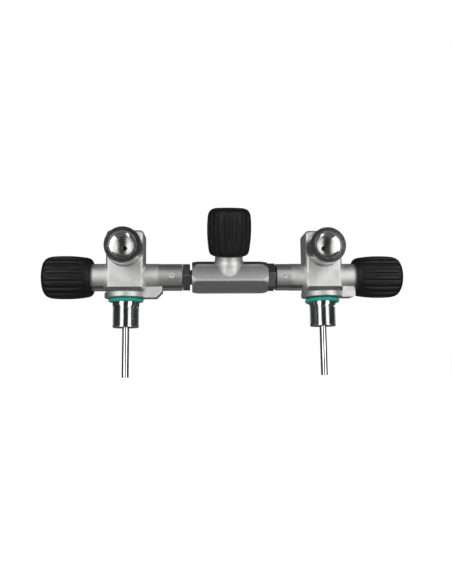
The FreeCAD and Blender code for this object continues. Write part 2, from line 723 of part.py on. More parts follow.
def dip_tube():
    top = dim.dip_socket - dim.flange_drop - dim.neck_length
    length = dim.dip_end + top
    outside = cylinder(dim.dip_radius, length, (0, 0, top), "-z")
    return cut(outside, cylinder(dim.dip_bore, length + PAST * 2, (0, 0, top + PAST), "-z"))


def lock_screw(side, arm_reach, screw_inset):
    """A socket set screw whose point stands in the crossover tube's groove."""
    screw_x = (screw_inset - arm_reach) * side
    tip = dim.tube_radius - dim.screw_groove + dim.end_gap
    head = dim.arm_radius - dim.screw_sink
    shank = cylinder(dim.screw_radius, head - tip, (screw_x, -tip, 0), "-y")
    key = hexagon(dim.screw_key * 2, dim.screw_radius, (screw_x, dim.screw_radius - head, 0), "-y")
    return cut(shank, key)


def neck_ring():
    section = dim.neck_ring_section * 0.5
    return group(ring(dim.neck_radius + dim.neck_ring_play + section, section, 0, NECK_RING_SIDES))


def post(name, side, arm_reach, lug_reach, lug_chamfer, screw_inset):
    """Everything fixed to one cylinder, with its valve."""
    middle = dim.post_spacing * (0.5 * side)
    upright = Station((middle, 0, 0), Vector(0, 0, 1), 0)
    upright.carry(name + "_valve_body", post_body(side, arm_reach, lug_reach, lug_chamfer, screw_inset))
    upright.carry(name + "_dip_tube", dip_tube())
    upright.carry(name + "_lock_screw", lock_screw(side, arm_reach, screw_inset))
    side_valve = Station((middle, 0, 0), Vector(0, 1, 0), 90 * side)
    side_valve.take_valve(dim.barrel_face, dim.barrel_radius, dim.post_knob_length, 0)
    valve(name, side_valve)


# An arm ends where its lock nut and the bar leave off.
lock_nut_room = dim.bar_length * 0.5 + dim.lock_nut_thickness
left_nut_room = lock_nut_room + dim.lock_nut_lift + dim.left_nut_clear
right_nut_room = lock_nut_room + dim.lock_nut_gap + dim.right_nut_clear
left_arm_reach = dim.post_spacing * 0.5 + dim.bar_offset - left_nut_room
right_arm_reach = dim.post_spacing * 0.5 - dim.bar_offset - right_nut_room
ring_height = -dim.flange_drop - dim.neck_ring_section * 0.5
post("left", -1, left_arm_reach, dim.left_lug_reach, dim.left_lug_chamfer, dim.screw_inset_left)
post("right", 1, right_arm_reach, dim.right_lug_reach, dim.right_lug_chamfer, dim.screw_inset_right)
seated = Station((dim.post_spacing * -0.5, 0, ring_height), Vector(0, 0, 1), 0)
seated.carry("left_neck_o_ring", neck_ring())
# The photographed right O-ring hangs a little loose: lower, its front lifted and its left end down.
slack = Station((dim.post_spacing * 0.5, 0, ring_height - dim.slack_ring_drop), Vector(1, 0, 0),
                -dim.slack_ring_pitch)
slack.carry("right_neck_o_ring", neck_ring())


def bar():
    """The hexagonal bar with its boss and bores, its own Z along the boss."""
    corner = dim.bar_flats / FLATS_TO_CORNER
    half = dim.bar_length * 0.5
    prism = spun(hexagon(dim.bar_flats, dim.bar_length), CORNER_TO_FLAT)
    prism = group(prism)
    place(prism, (-half, 0, 0), "x")
    envelope = turned("bar_ends", [
        (Size("0", 0), -half),
        (corner - dim.bar_end_cut, -half),
        (corner, -half + dim.bar_end_chamfer),
        (corner, half - dim.bar_end_chamfer),
        (corner - dim.bar_end_cut, half),
        (Size("0", 0), half),
    ])
    envelope.Placement.Rotation = ALONG["x"]
    hexagonal = doc.addObject("Part::Common", "common")
    hexagonal.Base = prism
    hexagonal.Tool = envelope
    boss_x = -dim.boss_offset
    flat = dim.bar_flats * 0.5
    foot = dim.boss_radius + dim.boss_foot
    boss = cylinder(dim.boss_radius, dim.boss_face, (boss_x, 0, 0))
    flare = cone(foot, dim.boss_radius, BOSS_FLARE, (boss_x, 0, flat - PAST))
    flare_foot = cylinder(foot, flat - PAST, (boss_x, 0, 0))
    solid = fuse(hexagonal, boss, flare, flare_foot)
    return cut(solid, *bar_bores(boss_x, half))


def bar_bores(boss_x, half):
    """Cutters for the bar: its valve, both crossover tubes and the gas ways on each side of the seat."""
    valve_way = fuse(*valve_bores(dim.boss_face, dim.passage_radius))
    place(valve_way, (boss_x, 0, 0))
    seat = dim.boss_face - dim.seat_depth
    run = half - dim.bar_bore_depth
    lean = slope(run, seat + dim.carrier_travel)
    right_way = cylinder(dim.port_radius, run + PAST, (run + PAST, 0, 0))
    right_way.Placement.Rotation = Rotation(Vector(0, -1, 0), lean.value)
    bind(right_way, "Placement.Rotation.Angle", lean)
    mark = cylinder(dim.pinhole_radius, PAST, (boss_x, -dim.boss_radius - dim.boss_foot * 0.5, 0), "y")
    bind(mark, "Placement.Base.z", dim.bar_flats * 0.5 - PAST)
    return [
        valve_way,
        cylinder(dim.tube_radius, dim.bar_bore_depth + PAST, (-half + dim.bar_bore_depth, 0, 0), "-x"),
        cylinder(dim.tube_radius, dim.bar_bore_depth + PAST, (half - dim.bar_bore_depth, 0, 0), "x"),
        cylinder(dim.port_radius, run + PAST, along="-x"),
        right_way,
        mark,
    ]


def crossover(name, side, arm_reach, screw_inset):
    """A crossover tube with its O-rings and its lock nut, in the bar's frame, along its own Z."""
    end = Station((dim.bar_offset, 0, 0), Vector(0, 1, 0), 90 * side)
    arm_end = dim.post_spacing * 0.5 - dim.bar_offset * side - arm_reach
    foot = dim.bar_length * 0.5 - dim.bar_bore_depth + dim.end_gap
    top = arm_end + dim.tube_grip
    ring_outside = dim.tube_radius + dim.running_fit * 0.5
    section = dim.tube_ring_section * 0.5
    ring_heights = [top - dim.tube_ring_margin - dim.tube_ring_pitch, top - dim.tube_ring_margin]
    grooves = [(arm_end + screw_inset, dim.screw_radius + dim.end_gap, dim.tube_radius - dim.screw_groove)]
    for height in ring_heights:
        grooves.append((height, section + dim.tang_play, ring_outside - section * 2))
    outline = [(dim.tube_bore, foot), (dim.tube_radius, foot)]
    for height, half_width, floor in grooves:
        outline.append((dim.tube_radius, height - half_width))
        outline.append((floor, height - half_width))
        outline.append((floor, height + half_width))
        outline.append((dim.tube_radius, height + half_width))
    outline.append((dim.tube_radius, top))
    outline.append((dim.tube_bore, top))
    end.carry(name + "_crossover_tube", turned("tube", outline))
    rings = [ring(ring_outside - section, section, height, INNER_RING_SIDES) for height in ring_heights]
    end.carry(name + "_tube_o_rings", group(*rings))
    return end


def lock_nut(end, name, lift, turn):
    foot = dim.bar_length * 0.5 + lift
    outside = spun(hexagon(dim.lock_nut_flats, dim.lock_nut_thickness, (0, 0, foot)), turn)
    hole = cylinder(dim.tube_radius + dim.running_fit, dim.bar_length, (0, 0, 0))
    end.carry(name + "_lock_nut", cut(outside, hole))


left_end = crossover("left", -1, left_arm_reach, dim.screw_inset_left)
right_end = crossover("right", 1, right_arm_reach, dim.screw_inset_right)
lock_nut(left_end, "left", dim.lock_nut_lift, CORNER_TO_FLAT)
lock_nut(right_end, "right", dim.lock_nut_gap, -dim.right_nut_turn + CORNER_TO_FLAT)
tilted = Station((dim.bar_offset, 0, 0), Vector(1, 0, 0), dim.bar_tilt)
tilted.carry("isolator_body", bar())
boss = Station((dim.bar_offset - dim.boss_offset, 0, 0), Vector(1, 0, 0), dim.bar_tilt)
boss.take_valve(dim.boss_face, dim.boss_radius, dim.isolator_knob_length, dim.isolator_knob_extra)
valve("isolator", boss)

doc.recompute()
for node in nodes:
    if "Invalid" in node.State or "Error" in node.State or node.Shape.isNull() or not node.Shape.isValid():
        raise RuntimeError("sub-part not sound: " + node.Label)
    node.Shape.exportStep("parts/%s.step" % node.Label)
print(len(nodes), "sub-parts")
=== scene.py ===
# Looks, light and camera for the scuba isolation manifold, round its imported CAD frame.
# Lengths are in millimetres until a mesh is finished, and the frame's own are in metres.
import json
import math

import bmesh
import bpy
from mathutils import Matrix, Vector

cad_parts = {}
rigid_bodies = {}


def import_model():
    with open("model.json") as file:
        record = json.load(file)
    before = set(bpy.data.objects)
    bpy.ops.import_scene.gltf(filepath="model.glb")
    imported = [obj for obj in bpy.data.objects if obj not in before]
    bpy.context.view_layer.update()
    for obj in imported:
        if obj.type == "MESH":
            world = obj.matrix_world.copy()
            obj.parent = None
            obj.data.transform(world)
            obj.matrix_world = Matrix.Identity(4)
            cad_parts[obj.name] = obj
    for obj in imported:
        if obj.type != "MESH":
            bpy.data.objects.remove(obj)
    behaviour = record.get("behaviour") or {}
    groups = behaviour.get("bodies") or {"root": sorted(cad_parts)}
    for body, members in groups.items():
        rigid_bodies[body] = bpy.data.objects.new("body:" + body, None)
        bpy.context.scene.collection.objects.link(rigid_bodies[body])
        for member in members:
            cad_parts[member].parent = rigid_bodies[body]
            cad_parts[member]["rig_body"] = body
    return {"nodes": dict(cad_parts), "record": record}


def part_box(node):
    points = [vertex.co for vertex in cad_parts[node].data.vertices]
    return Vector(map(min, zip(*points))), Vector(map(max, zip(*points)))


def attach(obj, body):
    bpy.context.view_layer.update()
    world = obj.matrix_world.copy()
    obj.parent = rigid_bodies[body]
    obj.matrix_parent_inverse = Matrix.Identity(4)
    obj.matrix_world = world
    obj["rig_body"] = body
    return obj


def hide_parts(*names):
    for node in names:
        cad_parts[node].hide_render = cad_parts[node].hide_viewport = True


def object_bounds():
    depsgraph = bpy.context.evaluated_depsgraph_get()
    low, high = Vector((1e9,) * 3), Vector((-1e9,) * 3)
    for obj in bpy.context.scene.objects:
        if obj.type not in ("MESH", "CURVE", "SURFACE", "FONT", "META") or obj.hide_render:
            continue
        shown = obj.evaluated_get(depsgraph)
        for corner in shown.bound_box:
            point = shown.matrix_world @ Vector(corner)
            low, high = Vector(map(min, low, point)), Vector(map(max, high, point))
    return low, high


MM = 0.001
WHITE = (1, 1, 1, 1)
METAL = 1.0
QUARTER_TURN = math.radians(90)
# The Mix node's colour sockets share their names with others, so they go by number.
FIRST_COLOUR, SECOND_COLOUR, MIXED_COLOUR = 6, 7, 2
# Faces that meet at more than this keep a sharp edge between them.
SHARP_ON_METAL = math.radians(32)
SHARP_ON_TURNED = math.radians(40)
SHARP_ON_RUBBER = math.radians(50)
# Edges that turn by more than this are softened.
SOFTEN_FROM = math.radians(38)

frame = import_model()
cad_box = [list(corner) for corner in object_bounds()]


# Nodes and their arithmetic.

class Value:
    """A number or vector on a wire. Arithmetic on a number adds Math nodes to its tree."""

    def __init__(self, web, socket):
        self.web = web
        self.socket = socket

    def __add__(self, other):
        return self.web.math("ADD", self, other)

    __radd__ = __add__

    def __sub__(self, other):
        return self.web.math("SUBTRACT", self, other)

    def __rsub__(self, other):
        return self.web.math("SUBTRACT", other, self)

    def __mul__(self, other):
        return self.web.math("MULTIPLY", self, other)

    __rmul__ = __mul__

    def __truediv__(self, other):
        return self.web.math("DIVIDE", self, other)

    def __rtruediv__(self, other):
        return self.web.math("DIVIDE", other, self)


class Web:
    """The nodes of one tree, each added by its type, its settings and what its sockets take."""

    def __init__(self, tree):
        self.tree = tree

    def add(self, kind, settings=None, inputs=None):
        node = self.tree.nodes.new(kind)
        for name, setting in (settings or {}).items():
            setattr(node, name, setting)
        for name, value in (inputs or {}).items():
            self.feed(node.inputs[name], value)
        return node

    def feed(self, socket, value):
        if isinstance(value, Value):
            self.tree.links.new(value.socket, socket)
        else:
            socket.default_value = value

    def value(self, kind, settings=None, inputs=None, output=0):
        return Value(self, self.add(kind, settings, inputs).outputs[output])

    def math(self, operation, *values):
        return self.value("ShaderNodeMath", {"operation": operation}, dict(enumerate(values)))

    def between(self, value, low, high):
        """0 below low, 1 above high, and a smooth step between."""
        inputs = {"Value": value, "From Min": low, "From Max": high}
        return self.value("ShaderNodeMapRange", {"interpolation_type": "SMOOTHSTEP"}, inputs)

    def mix_colour(self, factor, first, second):
        inputs = {"Factor": factor, FIRST_COLOUR: rgba(first), SECOND_COLOUR: rgba(second)}
        return self.value("ShaderNodeMix", {"data_type": "RGBA"}, inputs, MIXED_COLOUR)

    def noise(self, place, scale, detail=2.0, roughness=0.5):
        inputs = {"Vector": place, "Scale": scale, "Detail": detail, "Roughness": roughness}
        return self.value("ShaderNodeTexNoise", None, inputs)


def rgba(colour):
    """A plain colour gains its alpha, and a wire stays as it is."""
    return (*colour, 1) if isinstance(colour, tuple) else colour


class Finish(Web):
    """A material under a maker's name, with its place on the object in millimetres."""

    def __init__(self, name, metallic=0.0):
        self.material = bpy.data.materials.new(name)
        self.material.use_nodes = True
        super().__init__(self.material.node_tree)
        self.shader = next(node for node in self.tree.nodes if node.type == "BSDF_PRINCIPLED")
        self.shader.inputs["Metallic"].default_value = metallic
        self.place = self.stretched(1, 1, 1)

    def stretched(self, x, y, z):
        """Object coordinates in millimetres, stretched along each axis."""
        here = self.value("ShaderNodeTexCoord", output="Object")
        inputs = {0: here, 1: (x / MM, y / MM, z / MM)}
        return self.value("ShaderNodeVectorMath", {"operation": "MULTIPLY"}, inputs)

    def set(self, **sockets):
        for name, value in sockets.items():
            self.feed(self.shader.inputs[name.replace("_", " ")], value)

    def finish_with(self, surface):
        out = next(node for node in self.tree.nodes if node.type == "OUTPUT_MATERIAL")
        self.feed(out.inputs["Surface"], surface)

    def glow(self, level):
        """White light of the surface's own."""
        return self.value("ShaderNodeEmission", None, {"Color": WHITE, "Strength": level})

    def mottle(self, scale, detail, dull, bright, roughness, spread):
        """Vary colour and roughness by one grain, scale marks to the millimetre, and return it."""
        grain = self.noise(self.place, scale, detail)
        self.set(Base_Color=self.mix_colour(grain, dull, bright))
        self.set(Roughness=roughness + grain * spread)
        return grain

    def bump(self, height, depth, strength):
        """Relief from a height of 0 to 1 that stands for depth millimetres."""
        inputs = {"Height": height, "Distance": depth * MM, "Strength": strength}
        self.set(Normal=self.value("ShaderNodeBump", None, inputs))


# Finishes.

def blasted_chrome(name, dull, bright):
    """Satin chrome over a blasted surface: fine grain, faint clouds."""
    finish = Finish(name, METAL)
    clouds = finish.noise(finish.place, scale=0.09, detail=3.0)
    grain = finish.noise(finish.place, scale=1.5, detail=3.0, roughness=0.6)
    tint = finish.between(clouds * 0.6 + grain * 0.4, low=0.36, high=0.62)
    finish.set(Base_Color=finish.mix_colour(tint, dull, bright))
    finish.set(Roughness=0.48 + grain * 0.14)
    finish.bump(grain, depth=0.07, strength=0.5)
    return finish.material


def turned_chrome():
    """Satin chrome over turned metal, with tool lines round the X axis."""
    finish = Finish("turned_chrome", METAL)
    lines = finish.noise(finish.stretched(3.0, 0.05, 0.05), scale=1.0)
    clouds = finish.noise(finish.place, scale=0.12, detail=3.0)
    finish.set(Base_Color=finish.mix_colour(clouds, (0.80, 0.80, 0.79), (0.92, 0.92, 0.91)))
    finish.set(Roughness=0.34 + lines * 0.1)
    finish.bump(lines, depth=0.002, strength=0.4)
    return finish.material


def polished_chrome():
    """Mirror chrome with faint smears."""
    finish = Finish("polished_chrome", METAL)
    finish.mottle(scale=0.25, detail=3.0, dull=(0.70, 0.71, 0.71), bright=(0.80, 0.81, 0.81),
                  roughness=0.08, spread=0.08)
    return finish.material


def drawn_bar():
    """The hexagonal bar: dull satin, ground along its length, with painted shade that darkens it towards
    its top.
    Its edges are lightened by a painted highlight, and a ticked line along each is worn and painted
    highlight in one."""
    finish = Finish("drawn_bar", METAL)
    drawn = finish.noise(finish.stretched(0.12, 2.2, 2.2), scale=1.0, detail=3.0)
    grain = finish.noise(finish.place, scale=2.4)
    ticks = finish.noise(finish.stretched(2.4, 0.3, 0.3), scale=1.0)
    parts = finish.add("ShaderNodeSeparateXYZ", None, {0: finish.place})
    y, z = Value(finish, parts.outputs["Y"]), Value(finish, parts.outputs["Z"])
    # The bar's flats lie 14 mm from its axis and its corners 16.2 mm.
    from_axis = finish.math("SQRT", y * y + z * z) + (ticks - 0.5) * 0.9
    # Painted highlight: the flats lighten towards the corners. The narrow ticked line at each corner is
    # real wear and painted highlight in one.
    edge_highlight = finish.between(from_axis, low=14.1, high=16.3) * 0.35
    worn_and_highlight_line = finish.between(from_axis, low=15.2, high=15.7) * 0.65
    # Painted shade: the bar darkens towards its top, which dims its tone and its edge marks alike.
    painted_shade = 1.0 - finish.between(z, low=-5.0, high=12.5) * 0.66
    tint = finish.between(drawn * 0.5 + grain * 0.5, low=0.35, high=0.65)
    level = (0.59 + tint * 0.14) * painted_shade
    plain = finish.value("ShaderNodeCombineColor", None, {0: level, 1: level, 2: level})
    bright = (0.90, 0.90, 0.90)
    # Mixes in the painted highlight and the worn line, both dimmed by the painted shade.
    finish.set(Base_Color=finish.mix_colour((edge_highlight + worn_and_highlight_line) * painted_shade, plain, bright))
    finish.set(Roughness=0.40 + grain * 0.14)
    finish.bump(grain + worn_and_highlight_line * ticks, depth=0.05, strength=0.5)
    return finish.material


def grey_nickel():
    """Dull dark nickel."""
    finish = Finish("grey_nickel", METAL)
    grain = finish.mottle(scale=1.8, detail=3.0, dull=(0.20, 0.20, 0.20), bright=(0.32, 0.32, 0.32),
                          roughness=0.36, spread=0.12)
    finish.bump(grain, depth=0.04, strength=0.4)
    return finish.material


def dark_steel():
    """Bare machined steel."""
    finish = Finish("dark_steel", METAL)
    finish.mottle(scale=2.0, detail=2.0, dull=(0.30, 0.30, 0.30), bright=(0.44, 0.44, 0.43),
                  roughness=0.22, spread=0.1)
    return finish.material


def bare_brass():
    """Machined brass of the inner pieces."""
    finish = Finish("bare_brass", METAL)
    finish.mottle(scale=1.2, detail=2.0, dull=(0.62, 0.47, 0.22), bright=(0.74, 0.58, 0.30),
                  roughness=0.24, spread=0.12)
    return finish.material


def ring_green():
    """The cylinder O-rings' green rubber."""
    finish = Finish("ring_green")
    grain = finish.mottle(scale=1.1, detail=3.0, dull=(0.014, 0.34, 0.28), bright=(0.024, 0.44, 0.37),
                          roughness=0.34, spread=0.12)
    finish.bump(grain, depth=0.02, strength=0.3)
    return finish.material


def seal_black():
    """Black rubber of the inner seals."""
    finish = Finish("seal_black")
    finish.mottle(scale=1.6, detail=2.0, dull=(0.010, 0.010, 0.010), bright=(0.022, 0.022, 0.022),
                  roughness=0.45, spread=0.15)
    return finish.material


def grip_rubber():
    """Moulded rubber of the handwheels: near black, faintly blue, fine spark-eroded grain."""
    finish = Finish("grip_rubber")
    grain = finish.noise(finish.place, scale=2.6, detail=3.0, roughness=0.6)
    clouds = finish.noise(finish.place, scale=0.12)
    finish.set(Base_Color=finish.mix_colour(clouds, (0.005, 0.005, 0.006), (0.009, 0.009, 0.011)))
    finish.set(Roughness=0.40 + grain * 0.16, Specular_IOR_Level=0.35)
    finish.bump(grain, depth=0.05, strength=0.4)
    return finish.material


def core_plastic():
    """Black moulded plastic inside a handwheel."""
    finish = Finish("core_plastic")
    finish.mottle(scale=1.4, detail=2.0, dull=(0.016, 0.016, 0.017), bright=(0.028, 0.028, 0.030),
                  roughness=0.34, spread=0.14)
    return finish.material


def pad_plastic():
    """Pale plastic of the seat pads."""
    finish = Finish("pad_plastic")
    finish.mottle(scale=1.4, detail=2.0, dull=(0.62, 0.60, 0.55), bright=(0.72, 0.70, 0.66),
                  roughness=0.4, spread=0.1)
    return finish.material


finishes = {
    "cast_metal": blasted_chrome("blasted_chrome", (0.74, 0.74, 0.73), (0.91, 0.91, 0.90)),
    "turned_metal": polished_chrome(),
    "nut_metal": grey_nickel(),
    "tube_metal": dark_steel(),
    "brass": bare_brass(),
    "rubber": seal_black(),
    "green_ring": ring_green(),
    "pad_plastic": pad_plastic(),
    "grip_rubber": grip_rubber(),
    "core_plastic": core_plastic(),
    "spring_steel": dark_steel(),
}
arm_finish = turned_chrome()
boss_finish = blasted_chrome("boss_chrome", (0.86, 0.86, 0.85), (0.97, 0.97, 0.96))
bar_finish = drawn_bar()

slots = {entry["node"]: entry["material_slot"] for entry in frame["record"]["subparts"]}


# Meshes.

def finished(name, shape, body, slot, node, materials=None):
    """Turn a bmesh in millimetres into a piece that rides on body and stands for node."""
    bmesh.ops.scale(shape, vec=(MM, MM, MM), verts=shape.verts)
    mesh = bpy.data.meshes.new(name)
    shape.to_mesh(mesh)
    shape.free()
    for material in materials or [finishes[slot]]:
        mesh.materials.append(material)
    return settle(name, mesh, body, node)


def settle(name, mesh, body, node):
    """Make a mesh in metres a piece of the object."""
    piece = bpy.data.objects.new(name, mesh)
    bpy.context.scene.collection.objects.link(piece)
    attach(piece, body)
    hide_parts(node)
    return piece


def lathe(outline, steps):
    """Turn a closed outline of (radius, height) corners about Z."""
    shape = bmesh.new()
    rows = []
    for step in range(steps):
        angle = 2 * math.pi * step / steps
        across, along = math.cos(angle), math.sin(angle)
        rows.append([shape.verts.new((r * across, r * along, z)) for r, z in outline])
    for step in range(steps):
        row, after = rows[step], rows[(step + 1) % steps]
        for index in range(len(outline)):
            onward = (index + 1) % len(outline)
            face = shape.faces.new((row[index], after[index], after[onward], row[onward]))
            face.smooth = True
    bmesh.ops.recalc_face_normals(shape, faces=shape.faces)
    return shape


def turned(name, outline, steps, matrix, body, slot, node):
    """A piece turned about Z of matrix."""
    shape = lathe(outline, steps)
    shape.transform(matrix)
    piece = finished(name, shape, body, slot, node)
    piece.data.set_sharp_from_angle(angle=SHARP_ON_TURNED)


def eased(outline, radius, turns=3):
    """Round each corner of a closed outline with an arc of about radius, save nearly straight ones."""
    nearly_straight = math.radians(160)
    points = []
    for index, corner in enumerate(outline):
        here = Vector(corner)
        back = Vector(outline[index - 1]) - here
        onward = Vector(outline[(index + 1) % len(outline)]) - here
        bend = back.angle(onward)
        if bend > nearly_straight:
            points.append(tuple(here))
            continue
        reach = min(radius / math.tan(bend / 2), back.length * 0.45, onward.length * 0.45)
        first, last = here + back.normalized() * reach, here + onward.normalized() * reach
        for turn in range(turns + 1):
            share = turn / turns
            low, high = first.lerp(here, share), here.lerp(last, share)
            points.append(tuple(low.lerp(high, share)))
    return points


def dense(outline, step):
    """Add points to a closed outline so that none of its runs is longer than step."""
    points = []
    for index, corner in enumerate(outline):
        here, after = Vector(corner), Vector(outline[(index + 1) % len(outline)])
        parts = max(1, math.ceil((after - here).length / step))
        points += [tuple(here.lerp(after, part / parts)) for part in range(parts)]
    return points


def grow(tree_name, blank, inputs):
    """Run a Geometry Nodes tree on a blank mesh and return the result as a plain mesh."""
    carrier = bpy.data.objects.new(tree_name, blank)
    bpy.context.scene.collection.objects.link(carrier)
    modifier = carrier.modifiers.new(tree_name, "NODES")
    modifier.node_group = bpy.data.node_groups[tree_name]
    for item in modifier.node_group.interface.items_tree:
        if item.item_type == "SOCKET" and item.in_out == "INPUT" and item.name in inputs:
            modifier[item.identifier] = inputs[item.name]
    graph = bpy.context.evaluated_depsgraph_get()
    mesh = bpy.data.meshes.new_from_object(carrier.evaluated_get(graph), depsgraph=graph)
    carrier.modifiers.clear()
    bpy.data.objects.remove(carrier)
    return mesh


def grown(name, tree_name, blank, inputs, matrix, sharp, body, slot, node):
    """A piece from a Geometry Nodes tree, moved from millimetres at matrix to its place."""
    mesh = grow(tree_name, blank, {**inputs, "Material": finishes[slot]})
    mesh.transform(Matrix.Scale(MM, 4) @ matrix)
    mesh.name = name
    for polygon in mesh.polygons:
        polygon.use_smooth = True
    mesh.set_sharp_from_angle(angle=sharp)
    settle(name, mesh, body, node)


class GrowTree(Web):
    """A Geometry Nodes tree with named inputs."""

    def __init__(self, name, numbers):
        tree = bpy.data.node_groups.new(name, "GeometryNodeTree")
        super().__init__(tree)
        tree.interface.new_socket("Geometry", in_out="INPUT", socket_type="NodeSocketGeometry")
        for label, start in numbers.items():
            kind = "NodeSocketInt" if isinstance(start, int) else "NodeSocketFloat"
            tree.interface.new_socket(label, in_out="INPUT", socket_type=kind).default_value = start
        tree.interface.new_socket("Material", in_out="INPUT", socket_type="NodeSocketMaterial")
        tree.interface.new_socket("Geometry", in_out="OUTPUT", socket_type="NodeSocketGeometry")
        self.given = self.add("NodeGroupInput")

    def input(self, label):
        return Value(self, self.given.outputs[label])

    def end(self, geometry):
        real = self.value("GeometryNodeRealizeInstances", None, {"Geometry": geometry})
        paint = {"Geometry": real, "Material": self.input("Material")}
        painted = self.value("GeometryNodeSetMaterial", None, paint)
        self.add("NodeGroupOutput", None, {"Geometry": painted})


def plan_flutes():
    """Press flutes into a blank that stands along Z. A flute's bed follows a flat arc and runs out."""
    tree = GrowTree("flutes", {
        "Count": 20, "Section": 1.0, "Bed": 1.0, "Arc": 1.0, "Crest": 1.0, "Softness": 0.1})
    here = tree.value("GeometryNodeInputPosition")
    parts = tree.add("ShaderNodeSeparateXYZ", None, {0: here})
    x, y, z = (Value(tree, parts.outputs[axis]) for axis in "XYZ")
    radius = tree.math("SQRT", x * x + y * y)
    turn = tree.math("ARCTAN2", y, x) / (2 * math.pi)
    count = tree.input("Count")
    share = tree.math("FRACT", turn * count + 0.5) - 0.5
    aside = radius * tree.math("SINE", share * (2 * math.pi) / count)
    section = tree.input("Section")
    hollow = tree.math("SQRT", tree.math("MAXIMUM", section * section - aside * aside, 0.0))
    climb = z - tree.input("Crest")
    bed = tree.input("Bed") - climb * climb / (tree.input("Arc") * 2)
    pressed = tree.math("SMOOTH_MIN", radius, bed + section - hollow, tree.input("Softness"))
    factor = pressed / radius
    moved = tree.value("ShaderNodeCombineXYZ", None, {"X": x * factor, "Y": y * factor, "Z": z})
    set_place = {"Geometry": tree.input("Geometry"), "Position": moved}
    tree.end(tree.value("GeometryNodeSetPosition", None, set_place))


def plan_thread():
    """A V thread: a triangle swept along a helix.
    Side is 1 for a crest towards the axis and -1 for one outwards."""
    tree = GrowTree("thread", {
        "Helix": 1.0, "Turns": 1.0, "Length": 1.0, "Section": 1.0, "Side": 1.0, "Crest": 0.1,
        "Steps": 48})
    radius = tree.input("Helix")
    helix = tree.value("GeometryNodeCurveSpiral", None, {
        "Resolution": tree.input("Steps"), "Rotations": tree.input("Turns"), "Start Radius": radius,
        "End Radius": radius, "Height": tree.input("Length")})
    level = tree.value("GeometryNodeSetCurveNormal", {"mode": "Z_UP"}, {"Curve": helix})
    triangle = tree.value("GeometryNodeCurvePrimitiveCircle", None, {
        "Resolution": 3, "Radius": tree.input("Section")})
    blunt = tree.value("GeometryNodeFilletCurve", None, {
        "Curve": triangle, "Radius": tree.input("Crest")})
    scale = tree.value("ShaderNodeCombineXYZ", None, {"X": tree.input("Side"), "Y": 1.0, "Z": 1.0})
    faced = tree.value("GeometryNodeTransform", None, {"Geometry": blunt, "Scale": scale})
    tree.end(tree.value("GeometryNodeCurveToMesh", None, {
        "Curve": level, "Profile Curve": faced, "Fill Caps": True}))


plan_flutes()
plan_thread()


# Camera.

def aim_camera():
    """The photograph's camera, from a fit to points on the object."""
    distance, height, aside = 498.52, -13.94, 2.07
    tip, swing, roll = math.radians(6.76), math.radians(3.62), math.radians(-0.64)
    focal, centre = 523.4, (227.28, 292.01)
    width, tall = 452, 584
    sensor = 36
    view = Matrix.Rotation(-tip, 3, "X") @ Matrix.Rotation(swing, 3, "Z")
    back = view.transposed()
    right = back @ Vector((math.cos(roll), 0, math.sin(roll)))
    up = back @ Vector((-math.sin(roll), 0, math.cos(roll)))
    ahead = back @ Vector((0, 1, 0))
    place = back @ Vector((aside, -distance, height)) * MM
    lens = bpy.data.cameras.new("camera")
    lens.sensor_fit = "VERTICAL"
    lens.sensor_height = sensor
    lens.lens = sensor * focal / tall
    lens.shift_x = (width / 2 - centre[0]) / tall
    lens.shift_y = (centre[1] - tall / 2) / tall
    lens.clip_start = 0.01
    camera = bpy.data.objects.new("camera", lens)
    turn = Matrix((right, up, -ahead)).transposed()
    camera.matrix_world = Matrix.Translation(place) @ turn.to_4x4()
    bpy.context.scene.collection.objects.link(camera)
    bpy.context.scene.camera = camera


aim_camera()


# Studio, in metres.

# What the white world gives the object. Seen straight, it is full white.
SKY_LIGHT = 0.6
# The floor's own light where it is seen straight, and its share in the floor's look there.
FLOOR_GLOW = 1.12
FLOOR_GLOW_SHARE = 0.8


def aimed(place, target, front):
    """Stand at place with the front axis towards target."""
    turn = (Vector(target) - Vector(place)).to_track_quat(front, "Y")
    return Matrix.Translation(place) @ turn.to_matrix().to_4x4()


def card(name, place, face, width, height, material, seen_by_camera=False):
    """A flat card that faces a point, as part of the studio."""
    shape = bmesh.new()
    right, top = width / 2, height / 2
    corners = [(-right, -top), (right, -top), (right, top), (-right, top)]
    shape.faces.new([shape.verts.new((x, y, 0)) for x, y in corners])
    mesh = bpy.data.meshes.new(name)
    shape.to_mesh(mesh)
    shape.free()
    mesh.materials.append(material)
    thing = bpy.data.objects.new(name, mesh)
    thing.matrix_world = aimed(place, face, "Z")
    thing.visible_camera = seen_by_camera
    thing.visible_shadow = seen_by_camera
    thing.visible_diffuse = seen_by_camera
    bpy.context.scene.collection.objects.link(thing)
    return thing


def softbox(name, azimuth, elevation, distance, width, height, strength):
    """A rectangular lamp towards the object, its azimuth counted to the right of straight ahead."""
    turn, lift = math.radians(azimuth), math.radians(elevation)
    level = math.cos(lift)
    place = Vector((math.sin(turn) * level, -math.cos(turn) * level, math.sin(lift))) * distance
    lamp = bpy.data.lights.new(name, "AREA")
    lamp.shape = "RECTANGLE"
    lamp.size = width
    lamp.size_y = height
    lamp.energy = strength * math.pi * width * height
    thing = bpy.data.objects.new(name, lamp)
    thing.matrix_world = aimed(place, (0, 0, 0), "-Z")
    bpy.context.scene.collection.objects.link(thing)


def seen_straight(web):
    """1 for rays from the camera, or off metal and through glass, else 0."""
    path = web.add("ShaderNodeLightPath")
    names = ("Is Camera Ray", "Is Glossy Ray", "Is Transmission Ray")
    camera, glossy, through = (Value(web, path.outputs[name]) for name in names)
    return web.math("MINIMUM", camera + glossy + through, 1.0)


def white_sky():
    """A white world, dimmer as light than it is seen."""
    world = bpy.data.worlds.new("studio")
    world.use_nodes = True
    bpy.context.scene.world = world
    web = Web(world.node_tree)
    background = next(node for node in web.tree.nodes if node.type == "BACKGROUND")
    background.inputs["Color"].default_value = WHITE
    web.feed(background.inputs["Strength"], SKY_LIGHT + seen_straight(web) * (1.0 - SKY_LIGHT))


